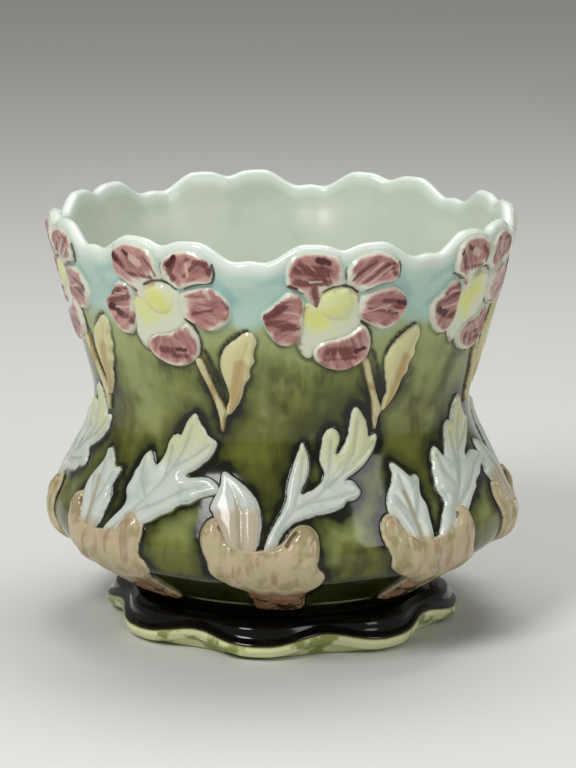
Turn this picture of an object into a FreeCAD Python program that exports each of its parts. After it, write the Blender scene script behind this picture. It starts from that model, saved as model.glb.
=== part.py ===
import FreeCAD, Part
import math
import os

import Sketcher

# A glazed earthenware jardiniere that stands loose in a low scalloped stand.
# Millimetres, +Z up, -Y is the front, origin at the centre of the stand's underside.
# One motif, a flower over a cluster of leaves, is repeated round the wall.

doc = FreeCAD.newDocument("jardiniere")
sheet = doc.addObject("Spreadsheet::Sheet", "sizes")

SIZES = [
    # the repeat
    ("motif_count", 8, "flowers round the wall"),
    ("motif_turn", 14.9, "degrees from the front to the nearest flower's axis"),
    # stand
    ("stand_contact_radius", 62.5, "outside of the flat ring that meets the shelf"),
    ("stand_contact_width", 6, "width of that ring"),
    ("stand_lip_radius", 70.3, "out to the scalloped lip"),
    ("stand_lip_height", 4.3, "middle of the lip above the shelf"),
    ("stand_lip_thickness", 5.2, "height of the lip's edge"),
    ("stand_shoulder_radius", 67.6, "out to the dark shoulder above the lip"),
    ("stand_shoulder_height", 8.2, "where the shoulder leaves the lip"),
    ("stand_top_height", 14.5, "top of the shoulder"),
    ("stand_floor", 5, "thickness of the stand's floor"),
    ("notch_depth", 5, "each scallop notch in the lip"),
    ("notch_half_width", 11, "half the width of a notch at the lip"),
    # pot foot and underside
    ("seat_height", 9, "recess floor that the pot stands on"),
    ("seat_clearance", 0.4, "radial play of the pot's foot in the recess"),
    ("foot_radius", 52.2, "outside of the pot's foot ring"),
    ("foot_width", 6, "width of the pot's foot ring"),
    ("neck_height", 17.4, "top of the plain neck under the ledge"),
    ("neck_radius", 56.5, "the neck under the ledge"),
    ("ledge_radius", 61, "edge where the underside turns up into the wall"),
    ("ledge_height", 20.5, "height of that edge"),
    # pot wall, as corners of the straight stretches, each rounded
    ("belly_radius", 93.6, "where the bowl's two cones would meet"),
    ("belly_height", 41.1, "height of that corner"),
    ("belly_round", 13, "rounding of the belly"),
    ("waist_radius", 71.4, "where belly cone and flare would meet"),
    ("waist_height", 86, "height of that corner"),
    ("waist_round", 36, "rounding of the waist"),
    ("flare_inset", 2.5, "from the rim in to where the flare steepens"),
    ("flare_drop", 11.8, "from the rim's lobes down to that corner"),
    ("flare_round", 60, "rounding there"),
    ("rim_radius", 90.8, "outside of the rim"),
    ("pot_height", 163.8, "top of the rim's lobes above the shelf"),
    ("wall", 5, "wall thickness, measured level"),
    ("floor_thickness", 6, "pot floor above its hollow underside"),
    # rim scallops
    ("rim_dip", 6.8, "wide dips between flowers, below the lobes"),
    ("rim_notch", 3.6, "small notch over each flower, below the lobes"),
    ("lobe_half_width", 15.5, "from the notch to the lobe's outer corner"),
    ("lobe_run_out", 9, "width of the slope from lobe to dip"),
    # height of each ornament off the wall
    ("drawn_height", 143.3, "ledge to rim where the ornament was drawn; it stretches with them"),
    ("petal_relief", 2.2, "petals"),
    ("centre_relief", 3.4, "flower centre"),
    ("stem_relief", 2.0, "stem"),
    ("bud_leaf_relief", 2.2, "leaf beside the stem"),
    ("leaf_relief", 2.6, "broad and lobed leaves"),
    ("tuft_relief", 3.2, "curled tuft at the base"),
]
for row, (alias, number, meaning) in enumerate(SIZES, start=1):
    sheet.set(f"A{row}", meaning)
    sheet.set(f"B{row}", str(number))
    sheet.setAlias(f"B{row}", alias)
doc.recompute()


def number_of(expression):
    """The value of an expression on the sheet, such as "sizes.wall * 2"."""
    return float(sheet.evalExpression(expression))


def hold_point(sketch, geometry, vertex, across, up):
    """Ties a point of the sketch to two expressions, measured from the origin."""
    for kind, axis, expression in (("DistanceX", -2, across), ("DistanceY", -1, up)):
        if expression == "0":
            sketch.addConstraint(Sketcher.Constraint("PointOnObject", geometry, vertex, axis))
            continue
        length = number_of(expression)
        index = sketch.addConstraint(Sketcher.Constraint(kind, -1, 1, geometry, vertex, length))
        sketch.setExpression(f"Constraints[{index}]", expression)


def unit_towards(start, end):
    return (end - start).normalize()


def arc_between(centre, radius, start, end):
    """The arc of under a half turn from start to end, and whether it runs anticlockwise."""
    first = math.atan2(start.y - centre.y, start.x - centre.x)
    last = math.atan2(end.y - centre.y, end.x - centre.x)
    anticlockwise = (last - first) % (2 * math.pi) < math.pi
    if not anticlockwise:
        first, last = last, first
    circle = Part.Circle(centre, FreeCAD.Vector(0, 0, 1), radius)
    return Part.ArcOfCircle(circle, first, last), anticlockwise


def rounded_outline(sketch, corners):
    """Draws a closed outline of lines and tangent arcs through (across, up, rounding) corners."""
    points = [FreeCAD.Vector(number_of(x), number_of(y), 0) for x, y, _ in corners]
    starts = []
    ends = []
    arcs = []
    for i, (_, _, rounding) in enumerate(corners):
        here = points[i]
        back = unit_towards(here, points[i - 1])
        ahead = unit_towards(here, points[(i + 1) % len(points)])
        if rounding is None:
            starts.append(here)
            ends.append(here)
            arcs.append(None)
            continue
        radius = number_of(rounding)
        half_angle = back.getAngle(ahead) / 2
        reach = radius / math.tan(half_angle)
        bisector = (back + ahead).normalize()
        centre = here + bisector * (radius / math.sin(half_angle))
        starts.append(here + back * reach)
        ends.append(here + ahead * reach)
        arcs.append(arc_between(centre, radius, starts[-1], ends[-1]))
    lines = []
    for i in range(len(points)):
        line = Part.LineSegment(ends[i], starts[(i + 1) % len(points)])
        lines.append(sketch.addGeometry(line, False))
    for i, (across, up, rounding) in enumerate(corners):
        before = lines[i - 1]
        after = lines[i]
        if rounding is None:
            sketch.addConstraint(Sketcher.Constraint("Coincident", before, 2, after, 1))
            hold_point(sketch, after, 1, across, up)
            continue
        drawn, anticlockwise = arcs[i]
        arc = sketch.addGeometry(drawn, False)
        near, far = (1, 2) if anticlockwise else (2, 1)
        sketch.addConstraint(Sketcher.Constraint("Tangent", before, 2, arc, near))
        sketch.addConstraint(Sketcher.Constraint("Tangent", after, 1, arc, far))
        index = sketch.addConstraint(Sketcher.Constraint("Radius", arc, number_of(rounding)))
        sketch.setExpression(f"Constraints[{index}]", rounding)
        corner = sketch.addGeometry(Part.Point(points[i]), True)
        hold_point(sketch, corner, 1, across, up)
        sketch.addConstraint(Sketcher.Constraint("PointOnObject", corner, 1, before))
        sketch.addConstraint(Sketcher.Constraint("PointOnObject", corner, 1, after))


def plane_of(body, role):
    return [item for item in body.Origin.OriginFeatures if item.Role == role][0]


def body_sketch(body, name, role, corners):
    """A sketch on one of a body's own planes, drawn through rounded corners."""
    sketch = body.newObject("Sketcher::SketchObject", name)
    sketch.AttachmentSupport = [(plane_of(body, role), "")]
    sketch.MapMode = "FlatFace"
    rounded_outline(sketch, corners)
    return sketch


def revolve(body, name, corners):
    """Turns an outline in the XZ plane round the Z axis."""
    sketch = body_sketch(body, name + "_profile", "XZ_Plane", corners)
    turned = body.newObject("PartDesign::Revolution", name)
    turned.Profile = sketch
    turned.ReferenceAxis = (sketch, ["V_Axis"])
    turned.Angle = 360
    return turned


def repeat_round(body, name, feature):
    """Repeats a cut for every motif and makes the result the body's shape."""
    pattern = body.newObject("PartDesign::PolarPattern", name)
    pattern.Originals = [feature]
    pattern.Axis = (plane_of(body, "Z_Axis"), [""])
    pattern.Angle = 360
    pattern.setExpression("Occurrences", "sizes.motif_count")
    body.Tip = pattern
    return pattern


def turn_about_z(piece, expression):
    """Turns a piece about the vertical axis by an expression in degrees."""
    piece.Placement = FreeCAD.Placement(
        FreeCAD.Vector(0, 0, 0), FreeCAD.Rotation(FreeCAD.Vector(0, 0, 1), number_of(expression)))
    piece.setExpression("Placement.Rotation.Angle", expression)


# ---------------------------------------------------------------- pot

# The outside of the wall, from the ledge up to the rim. The ornament follows it too.
WALL_OUTSIDE = [
    ("sizes.ledge_radius", "sizes.ledge_height", None),
    ("sizes.belly_radius", "sizes.belly_height", "sizes.belly_round"),
    ("sizes.waist_radius", "sizes.waist_height", "sizes.waist_round"),
    ("sizes.rim_radius - sizes.flare_inset", "sizes.pot_height - sizes.flare_drop", "sizes.flare_round"),
    ("sizes.rim_radius", "sizes.pot_height", None),
]


def make_pot():
    """Bowl with a hollow foot ring; its rim is cut to two lobes over every flower."""
    pot = doc.addObject("PartDesign::Body", "pot")
    inside = [
        ("sizes.rim_radius - sizes.wall", "sizes.pot_height", None),
        ("sizes.rim_radius - sizes.flare_inset - sizes.wall", "sizes.pot_height - sizes.flare_drop",
         "sizes.flare_round"),
        ("sizes.waist_radius - sizes.wall", "sizes.waist_height", "sizes.waist_round - sizes.wall"),
        ("sizes.belly_radius - sizes.wall * 1.3", "sizes.belly_height + sizes.wall * 0.4",
         "sizes.belly_round - sizes.wall"),
        ("sizes.ledge_radius", "sizes.ledge_height + sizes.floor_thickness", "sizes.wall"),
        ("0", "sizes.ledge_height + sizes.floor_thickness", None),
    ]
    underside = [
        ("0", "sizes.ledge_height", None),
        ("sizes.foot_radius - sizes.foot_width", "sizes.ledge_height", None),
        ("sizes.foot_radius - sizes.foot_width", "sizes.seat_height", None),
        ("sizes.foot_radius", "sizes.seat_height", None),
        ("sizes.foot_radius", "sizes.neck_height - sizes.foot_width / 2", None),
        ("sizes.neck_radius", "sizes.neck_height", None),
    ]
    revolve(pot, "pot_wall", underside + WALL_OUTSIDE + inside)

    half_pitch = "sizes.rim_radius * sin(180 deg / sizes.motif_count)"
    dip = "sizes.pot_height - sizes.rim_dip"
    slope_end = "sizes.lobe_half_width + sizes.lobe_run_out"
    above = "sizes.pot_height + sizes.rim_dip"
    edge = [
        (half_pitch + " * 1.1", dip, None),
        (slope_end, dip, "sizes.lobe_run_out"),
        ("sizes.lobe_half_width", "sizes.pot_height", "sizes.lobe_run_out"),
        ("sizes.rim_notch", "sizes.pot_height", "sizes.rim_notch"),
    ]
    other_edge = [("-(" + x + ")", z, rounding) for x, z, rounding in reversed(edge)]
    notch = [("0", "sizes.pot_height - sizes.rim_notch", None)]
    cover = [("-(" + half_pitch + " * 1.1)", above, None), (half_pitch + " * 1.1", above, None)]
    outline = edge + notch + other_edge + cover
    cut = pot.newObject("PartDesign::Pocket", "rim_cut")
    cut.Profile = body_sketch(pot, "rim_edge", "XZ_Plane", outline)
    cut.Type = "ThroughAll"
    cut.Reversed = True
    repeat_round(pot, "rim_scallops", cut)
    turn_about_z(pot, "sizes.motif_turn")
    return pot


# -------------------------------------------------------------- stand

def make_stand():
    """Low dish with a recess for the pot's foot and a lip cut to one lobe per motif."""
    stand = doc.addObject("PartDesign::Body", "stand")
    recess = "sizes.foot_radius + sizes.seat_clearance"
    lip_low = "sizes.stand_lip_height - sizes.stand_lip_thickness / 2"
    lip_high = "sizes.stand_lip_height + sizes.stand_lip_thickness / 2"
    contact_inside = "sizes.stand_contact_radius - sizes.stand_contact_width"
    profile = [
        ("0", "sizes.seat_height - sizes.stand_floor", None),
        (contact_inside + " - sizes.stand_floor", "sizes.seat_height - sizes.stand_floor", None),
        (contact_inside, "0", None),
        ("sizes.stand_contact_radius", "0", None),
        ("sizes.stand_lip_radius", lip_low, "sizes.stand_lip_thickness * 0.35"),
        ("sizes.stand_lip_radius", lip_high, "sizes.stand_lip_thickness * 0.35"),
        ("sizes.stand_shoulder_radius", "sizes.stand_shoulder_height", None),
        ("sizes.stand_shoulder_radius - 1", "sizes.stand_top_height", "sizes.stand_lip_thickness"),
        (recess, "sizes.stand_top_height", None),
        (recess, "sizes.seat_height", None),
        ("0", "sizes.seat_height", None),
    ]
    revolve(stand, "stand_dish", profile)

    outside = "-(sizes.stand_lip_radius * 1.15)"
    flank = "-(sizes.stand_lip_radius + 0.6)"
    bottom = "-(sizes.stand_lip_radius - sizes.notch_depth)"
    outline = [
        ("0", bottom, None),
        ("sizes.notch_half_width", flank, "sizes.notch_half_width"),
        ("sizes.notch_half_width * 2", outside, None),
        ("-(sizes.notch_half_width * 2)", outside, None),
        ("-(sizes.notch_half_width)", flank, "sizes.notch_half_width"),
    ]
    cut = stand.newObject("PartDesign::Pocket", "notch_cut")
    cut.Profile = body_sketch(stand, "notch_outline", "XY_Plane", outline)
    cut.Type = "ThroughAll"
    cut.Reversed = True
    repeat_round(stand, "lip_scallops", cut)
    turn_about_z(stand, "sizes.motif_turn")
    return stand


# ----------------------------------------------------------- ornament

# Each outline is a list of (degrees from its flower's axis, height) control points.
# The smooth edge runs inside them, touching each side of the list halfway.
# Heights of the flower, its stem and bud leaf are measured from the rim's lobes.
PETALS = [
    [(-14.2, -15.2), (-15, -7.4), (-11.4, -2.9), (-4.6, -2.9), (-0.4, -7.2), (-0.5, -15.1),
     (-4.7, -15.6), (-6.2, -23.6), (-8.4, -23.6), (-9.4, -16.8)],
    [(0.8, -14.4), (0.3, -7.8), (4.4, -3.1), (13.6, -5.2), (15, -10.4), (12.6, -14.8),
     (5.6, -18), (2.6, -18)],
    [(3.9, -20.6), (7.4, -18), (15.8, -15.4), (19, -23.4), (17.6, -30.2), (10.6, -34),
     (4.4, -29.6)],
    [(-7.2, -46.6), (-7.2, -38.2), (3.8, -31), (9.4, -36.2), (8.8, -44.4), (0.2, -50.2)],
    [(-9, -21.8), (-11, -15.4), (-15.4, -18.2), (-20.9, -26.4), (-18.2, -36.8), (-9.9, -39.8),
     (-8.2, -31.8)],
]
FLOWER_CENTRE = [
    (-4.9, -21.2), (-4.4, -16.5), (-1.6, -15.8), (2.4, -18.8), (3.2, -23.2), (3.4, -29.9),
    (-5.9, -37.2), (-8.1, -37.2), (-6.8, -29.4), (-7.4, -24.5),
]
STEM = [
    (9.2, -43.2), (11.2, -47.2), (12.8, -55.4), (13.8, -65.4), (14.3, -72.6),
    (12.2, -72.6), (11.4, -64.2), (10.4, -56.2), (8.4, -47.4),
]
BUD_LEAF = [
    (14.4, -67), (19.6, -67), (22.2, -55.2), (24.6, -47), (24, -37.8), (21.7, -32.4),
    (16, -38), (13, -43.8), (13.3, -53.8), (16.4, -59.4),
]
# Heights of the leaves and tuft are measured from the ledge.
BROAD_LEAF = [
    (-20.3, 23.9), (-20.6, 35.5), (-19.6, 42.5), (-23, 51.1), (-31.6, 55.3), (-29.6, 47.9),
    (-33.2, 41.5), (-29.6, 35.5), (-27.2, 23.9),
]
LOBED_LEAF = [
    (-19.4, 24.1), (-18, 34.5), (-14.8, 42.1), (-12.6, 47.1), (-12.4, 58.5), (-8.7, 70.1),
    (-5.6, 57.7), (-10.4, 47.9), (-6, 50.7), (-3.3, 53.9), (-4.8, 59.1), (-3, 71.5),
    (1.6, 72.3), (2.6, 65.1), (-1.6, 57.7), (3.4, 62.9), (4.4, 72.7), (6, 81.9),
    (10.4, 73.1), (10.4, 66.1), (15.2, 68.3), (11.6, 59.1), (2.6, 52.7), (8.4, 48.1),
    (2.2, 45.3), (0.6, 41.9), (-8.2, 40.7), (-13.6, 39.3), (-16.6, 32.5), (-16.6, 24.1),
]
BASE_TUFT = [
    (-24, 0.4), (-23.2, 11.9), (-31, 15.7), (-33.4, 20.9), (-31.8, 24.7), (-37.2, 28.9),
    (-35.2, 40.2), (-30.9, 35.4), (-28.4, 23.1), (-14.6, 23.1), (-13.8, 34.1), (-10.4, 38.5),
    (-4.4, 36.7), (-7.2, 21.9), (-3.6, 21.1), (-5.4, 13.9), (-8, 10.9), (-7.2, 0.4),
]
# name, outlines, where their heights start, sheet name of the relief,
# degrees from the flower's axis to press it on from
ORNAMENT = [
    ("flower_petals", PETALS, "pot_height", "petal_relief", 0),
    ("flower_centre", [FLOWER_CENTRE], "pot_height", "centre_relief", 0),
    ("flower_stem", [STEM], "pot_height", "stem_relief", 12),
    ("bud_leaf", [BUD_LEAF], "pot_height", "bud_leaf_relief", 18),
    ("broad_leaf", [BROAD_LEAF], "ledge_height", "leaf_relief", -25),
    ("lobed_leaf", [LOBED_LEAF], "ledge_height", "leaf_relief", -5),
    ("base_tuft", [BASE_TUFT], "ledge_height", "tuft_relief", -20),
]


def wall_radius_at(height):
    """Radius of the wall's straight stretches at a height."""
    corners = [(number_of(z), number_of(r)) for r, z, _ in WALL_OUTSIDE]
    for (low, low_radius), (high, high_radius) in zip(corners, corners[1:]):
        if height <= high:
            break
    return low_radius + (high_radius - low_radius) * (height - low) / (high - low)


def smooth_outline(points, start, facing):
    """The closed edge of an outline, laid flat on the plane its ornament is pressed from."""
    stretch = number_of("(sizes.pot_height - sizes.ledge_height) / sizes.drawn_height")
    poles = []
    for degrees, rise in points:
        height = start + rise * stretch
        across = wall_radius_at(height) * math.sin(math.radians(degrees - facing))
        poles.append(FreeCAD.Vector(across, height, 0))
    edge = Part.BSplineCurve()
    edge.buildFromPoles(poles, True, 2)
    return edge


def make_core():
    """The pot's outside as a full solid, which the ornament is shaped against."""
    core = doc.addObject("PartDesign::Body", "wall_core")
    top = ("0", "sizes.pot_height", None)
    bottom = ("0", "sizes.ledge_height", None)
    revolve(core, "wall_core_solid", [bottom] + WALL_OUTSIDE + [top])
    return core


def make_layer(core, relief):
    """A coat of even thickness over the outside of the wall."""
    swollen = doc.addObject("Part::Offset", "swollen_by_" + relief)
    swollen.Source = core
    swollen.Join = 2
    swollen.setExpression("Value", "sizes." + relief)
    layer = doc.addObject("Part::Cut", "layer_of_" + relief)
    layer.Base = swollen
    layer.Tool = core
    return layer


def make_ornament(name, outlines, start, layer, facing):
    """One ornament as it sits on the motif whose flower faces the front."""
    sketch = doc.addObject("Sketcher::SketchObject", name + "_outline")
    sketch.Placement = FreeCAD.Placement(
        FreeCAD.Vector(0, 0, 0), FreeCAD.Rotation(FreeCAD.Vector(1, 0, 0), 90))
    for points in outlines:
        sketch.addGeometry(smooth_outline(points, number_of("sizes." + start), facing), False)
    block = doc.addObject("Part::Extrusion", name + "_block")
    block.Base = sketch
    block.DirMode = "Custom"
    block.Dir = FreeCAD.Vector(0, -1, 0)
    block.Solid = True
    block.setExpression("LengthFwd", "sizes.belly_radius * 1.2")
    shaped = doc.addObject("Part::Common", name + "_shaped")
    shaped.Base = block
    shaped.Tool = layer
    return shaped


def copy_round(name, shaped, facing):
    """Sets one copy of an ornament on the wall for every motif."""
    copies = []
    for k in range(int(number_of("sizes.motif_count"))):
        copy = doc.addObject("Part::Feature", f"{name}_{k + 1}")
        copy.Shape = shaped.Shape
        turn_about_z(copy, f"sizes.motif_turn + ({facing}) + {k} * 360 / sizes.motif_count")
        copies.append(copy)
    return copies


# ------------------------------------------------------------- build

pot = make_pot()
stand = make_stand()
core = make_core()
layers = {relief: make_layer(core, relief) for relief in sorted({row[3] for row in ORNAMENT})}
shaped = {}
for name, outlines, start, relief, facing in ORNAMENT:
    shaped[name] = make_ornament(name, outlines, start, layers[relief], facing)
doc.recompute()

pieces = [stand, pot]
for name, _, _, _, facing in ORNAMENT:
    pieces += copy_round(name, shaped[name], facing)
doc.recompute()

for item in doc.Objects:
    if "Invalid" in item.State or "Error" in item.State:
        raise RuntimeError(f"{item.Label} did not build: {item.State}")

os.makedirs("parts", exist_ok=True)
for piece in pieces:
    shape = piece.Shape
    if shape.isNull() or not shape.isValid():
        raise RuntimeError(f"{piece.Label} has no valid shape")
    shape.exportStep(os.path.join("parts", piece.Label + ".step"))
print(len(pieces), "pieces")
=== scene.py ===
import math

import bpy
import numpy as np
from mathutils import Matrix, Vector


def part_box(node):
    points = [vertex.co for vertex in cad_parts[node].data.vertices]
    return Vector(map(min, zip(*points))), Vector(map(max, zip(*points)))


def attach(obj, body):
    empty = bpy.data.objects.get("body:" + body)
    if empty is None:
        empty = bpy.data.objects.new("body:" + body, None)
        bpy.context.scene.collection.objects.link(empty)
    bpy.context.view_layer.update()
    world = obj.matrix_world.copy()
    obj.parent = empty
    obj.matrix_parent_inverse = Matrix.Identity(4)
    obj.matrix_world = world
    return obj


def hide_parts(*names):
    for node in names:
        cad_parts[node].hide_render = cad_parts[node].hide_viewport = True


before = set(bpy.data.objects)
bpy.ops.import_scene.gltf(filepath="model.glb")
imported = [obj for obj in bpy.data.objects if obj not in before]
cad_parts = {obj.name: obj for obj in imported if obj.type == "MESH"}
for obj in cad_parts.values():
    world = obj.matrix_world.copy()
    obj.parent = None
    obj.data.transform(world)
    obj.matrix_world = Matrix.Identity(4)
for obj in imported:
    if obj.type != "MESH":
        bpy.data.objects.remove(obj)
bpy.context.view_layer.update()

# A glazed earthenware jardiniere on a loose scalloped stand.
# Shapes are worked out in millimetres and degrees, then stored in metres.
MM = 0.001

MOTIFS = 8  # repeats of flower and leaves round the pot
PITCH = 360 / MOTIFS
MOTIF_TURN = 14.9  # degrees from the front to the nearest flower's axis
CELL = 0.5  # spacing of the points that carry the relief
POT_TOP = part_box("pot")[1].z / MM

# ---- profiles


ARC_POINTS = 5  # at least this many points on a rounded corner


def rounded_path(corners, step):
    """Points along straight runs joined by arcs, from (radius, height, rounding) corners."""
    points = [np.array(c[:2], float) for c in corners]
    path = [points[0]]
    for i in range(1, len(corners) - 1):
        here = points[i]
        back = points[i - 1] - here
        ahead = points[i + 1] - here
        back /= np.linalg.norm(back)
        ahead /= np.linalg.norm(ahead)
        radius = corners[i][2]
        if not radius:
            path.append(here)
            continue
        half = math.acos(np.clip(back @ ahead, -1, 1)) / 2
        bisector = (back + ahead) / np.linalg.norm(back + ahead)
        centre = here + bisector * radius / math.sin(half)
        start = here + back * radius / math.tan(half) - centre
        end = here + ahead * radius / math.tan(half) - centre
        first = math.atan2(start[1], start[0])
        sweep = (math.atan2(end[1], end[0]) - first + math.pi) % (2 * math.pi) - math.pi
        count = max(ARC_POINTS, int(abs(sweep) * radius / step) + 1)
        for t in np.linspace(0, 1, count):
            angle = first + sweep * t
            path.append(centre + radius * np.array((math.cos(angle), math.sin(angle))))
    path.append(points[-1])
    return np.array(path)


def resampled(path, step):
    """The same path with points no further apart than step."""
    out = [path[0]]
    for here, there in zip(path, path[1:]):
        count = max(1, int(math.ceil(np.linalg.norm(there - here) / step)))
        out += [here + (there - here) * k / count for k in range(1, count + 1)]
    return np.array(out)


WALL = 5  # thickness of the pot's wall
# the pot's outside, as (radius, height, rounding): ledge, belly, waist, under the rim, rim
WALL_CORNERS = [
    (61, 20.5, 0),
    (93.6, 41.1, 13),
    (71.4, 86, 36),
    (88.3, POT_TOP - 11.8, 60),
    (90.8, POT_TOP, 0),
]
LEDGE_HEIGHT = WALL_CORNERS[0][1]
RIM_RADIUS = WALL_CORNERS[-1][0]
FLOOR = LEDGE_HEIGHT + 6
SLOPE_STEP = 0.4  # half the height over which the wall's slope is taken
wall_path = rounded_path(WALL_CORNERS, 0.5)


def wall_radius(height):
    return np.interp(height, wall_path[:, 1], wall_path[:, 0])


def wall_tilt(height):
    """Radial and vertical parts of the wall's outward normal."""
    rise = 2 * SLOPE_STEP
    slope = (wall_radius(height + SLOPE_STEP) - wall_radius(height - SLOPE_STEP)) / rise
    length = np.sqrt(1 + slope ** 2)
    return 1 / length, -slope / length


def ramp(low, high, value):
    """0 at low and 1 at high, with a soft start and end."""
    t = np.clip((np.asarray(value, float) - low) / (high - low), 0, 1)
    return t * t * (3 - 2 * t)


RIM_DIP = 6.8  # how far the rim dips between two flowers
RIM_CREST = 0.7  # small rise in the middle of each dip
RIM_NOTCH = 2.4  # notch between the two lobes over a flower
SCALLOP_START = POT_TOP - 26  # the wall is drawn down with the rim from here up
SCALLOP_FULL = POT_TOP - 3
LIP = 2.4  # radius of the rounded rim


def from_motif(degrees):
    """Angle from the nearest flower's axis."""
    return (degrees - MOTIF_TURN + PITCH / 2) % PITCH - PITCH / 2


def rim_drop(degrees):
    """How far the rim lies below the tops of its lobes: two lobes over every flower."""
    angle = np.abs(from_motif(degrees))
    dip = RIM_DIP * ramp(9.5, 19.5, angle)
    crest = RIM_CREST * np.exp(-((angle - PITCH / 2) / 2.4) ** 2)
    return dip - crest + RIM_NOTCH * np.exp(-(angle / 3.2) ** 2)


def rim_share(height):
    """How much of the rim's scallop reaches down to a height on the uncut wall."""
    return ramp(SCALLOP_START, SCALLOP_FULL, height)


def on_wall(degrees, height, lift):
    """Points on the pot's outside, lifted off it, in metres. 0 degrees is the front, -Y."""
    outward, upward = wall_tilt(height)
    uncut = height
    for _ in range(10):  # closes in on the height that this point had before the scallop
        uncut = height + rim_drop(degrees) * rim_share(uncut)
    over = np.clip(uncut - (POT_TOP - LIP), 0, LIP * 0.98)
    rounding = LIP - np.sqrt(LIP ** 2 - over ** 2)
    radius = wall_radius(uncut) - rounding + outward * lift
    angle = np.radians(degrees)
    return np.column_stack((radius * np.sin(angle), -radius * np.cos(angle),
                            height + upward * lift)) * MM


# ---- outlines

# Every ornament is drawn at the first flower to the right of the front, and below it:
# (degrees round from the front, height) along its edge.
PETALS = [
    [(1.3, 148), (0.9, 153.3), (1.3, 157.5), (2.6, 160), (4.6, 161.4), (7.5, 161.8), (10.5, 161.2),
     (12.6, 159.8), (13.7, 157.6), (14.5, 154.5), (15, 150.6), (15.1, 148.6), (13.3, 148.2),
     (11.4, 147.5), (10.1, 146.2), (9.8, 143), (9.2, 139.6), (8.3, 139.2), (7.2, 141), (6, 144),
     (4.4, 146.3), (2.8, 147.6)],
    [(15.5, 149), (15.3, 153), (15.9, 156), (17, 158.2), (19, 160), (22, 161), (25, 160.4),
     (27.2, 158.2), (28.5, 156), (28.9, 153), (28.5, 150), (27.4, 148.6), (25, 148.4),
     (23, 147.6), (21, 146.2), (19.4, 145.5), (18.2, 146.2), (17, 147.8)],
    [(19.2, 136), (19, 139.6), (19.3, 143.8), (21.4, 145.3), (24, 146.6), (27, 147.3), (29.4, 146.1),
     (31.3, 143.7), (32.5, 140.6), (32.6, 137.8), (31.9, 135), (30.4, 132.7), (28.6, 130.9),
     (26.5, 130), (24.4, 131.2), (22.6, 132.8), (20.6, 134.4)],
    [(20.4, 133.2), (22, 131.4), (23.2, 128), (23.7, 124.3), (23.1, 120.6), (21.6, 118), (19, 115.8),
     (16.5, 114.9), (14, 115.4), (11.5, 116.7), (9.2, 118.7), (8.1, 121.4), (8.2, 124.2),
     (9.6, 126.4), (12, 127.6), (15.5, 128.2), (18.6, 130.6)],
    [(1.4, 146.4), (-0.6, 143.1), (-3.2, 139.8), (-5, 138), (-4.8, 135), (-4, 132), (-2.9, 129),
     (-1.5, 126.6), (0.6, 125), (2.9, 125.6), (4.2, 127.6), (5, 130.6), (5.4, 134), (5.3, 138),
     (5.5, 141.4), (4.9, 144.2), (3.6, 146)],
]
FLOWER_CENTRE = [
    (9.2, 145.4), (11, 147), (14, 147.8), (17, 147), (18.9, 145.4), (19.7, 142), (19.9, 137),
    (20.6, 133), (18.2, 128.6), (14, 126.6), (10.4, 125.6), (8.8, 123.4), (8.2, 120.8),
    (7, 119.9), (5.4, 121.6), (3.9, 125.6), (4.2, 130.6), (4.5, 135), (4.7, 139), (6, 142),
    (7.6, 142.4),
]
STEM = [
    (21.2, 119.4), (22.6, 114), (24.5, 108), (26.1, 102), (27, 96), (27.4, 90), (28.4, 90),
    (28.9, 95.4), (30, 97.6), (28.9, 100.6), (27.6, 104), (26.2, 109), (24.8, 114.5), (23.7, 119.6),
]
BUD_LEAF = [
    (29, 96.4), (31, 98), (33, 101.6), (34.4, 106), (34.9, 110), (36.6, 112), (36.3, 116),
    (38.1, 118.6), (37.4, 122.4), (38.7, 126), (37.9, 130), (36, 130.6), (33.4, 127.6), (30.8, 124.8),
    (29.2, 121.2), (28.5, 116.6), (29.2, 112), (30.2, 108), (30.8, 104), (29.6, 100.4),
]
# The leaves weren't pressed alike: every other cluster has a closed leaf with toothed edges.
BROAD_LEAF = [
    (-6.4, 44.4), (-5.6, 50), (-5, 56), (-4.9, 61), (-6.2, 66), (-8.6, 70), (-12, 73), (-15, 75.4),
    (-16.6, 75.6), (-16.4, 71), (-17.4, 67.4), (-18, 65.4), (-18.6, 62.8), (-17.2, 61), (-16.4, 57.4),
    (-14.8, 55), (-13.6, 51), (-12.2, 44.4),
]
TOOTHED_BROAD_LEAF = [
    (-6.4, 44.4), (-5.4, 50), (-5.2, 56), (-4.8, 61), (-6, 63.4), (-5.8, 66), (-4.8, 69.6),
    (-5.4, 71.6), (-7.4, 70.6), (-9.6, 74), (-12, 77), (-13.4, 76.4), (-12.8, 73), (-13.6, 70.6),
    (-15.2, 67.4), (-16.6, 64.2), (-16.8, 60), (-15, 55), (-13.2, 50), (-12.2, 44.4),
]
LOBED_LEAF = [
    (-4.9, 44.6), (-3.6, 53), (-1, 60), (1.4, 65.2), (1.7, 71), (3, 77), (4.8, 83), (6, 87.6),
    (6.9, 84.6), (7.9, 80.6), (7.8, 76.6), (6.6, 72.6), (4.6, 68), (8, 69.4), (11.4, 72.2),
    (12.2, 75.6), (11, 79), (11, 82), (11.8, 86), (12.2, 89.4), (13.6, 91.6), (15.4, 91.8),
    (17, 89.6), (16.9, 86), (15.4, 82.4), (16.4, 81.6), (18.4, 84.6), (19.8, 89.4), (20.2, 95),
    (20.7, 98.8), (21.8, 99.8), (23.4, 97.6), (25.1, 94), (25.8, 90), (25.9, 87.2), (27.6, 88.4),
    (28.9, 87.8), (28.2, 84.4), (26.8, 81.2), (24.6, 78), (21.2, 75), (17, 72.4), (19.4, 72.6),
    (20.6, 70.6), (21.8, 68.2), (20, 65.6), (17.2, 65.6), (16.2, 63.4), (12.8, 62), (8, 61),
    (3, 59), (-0.6, 54), (-2, 44.6),
]
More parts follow.
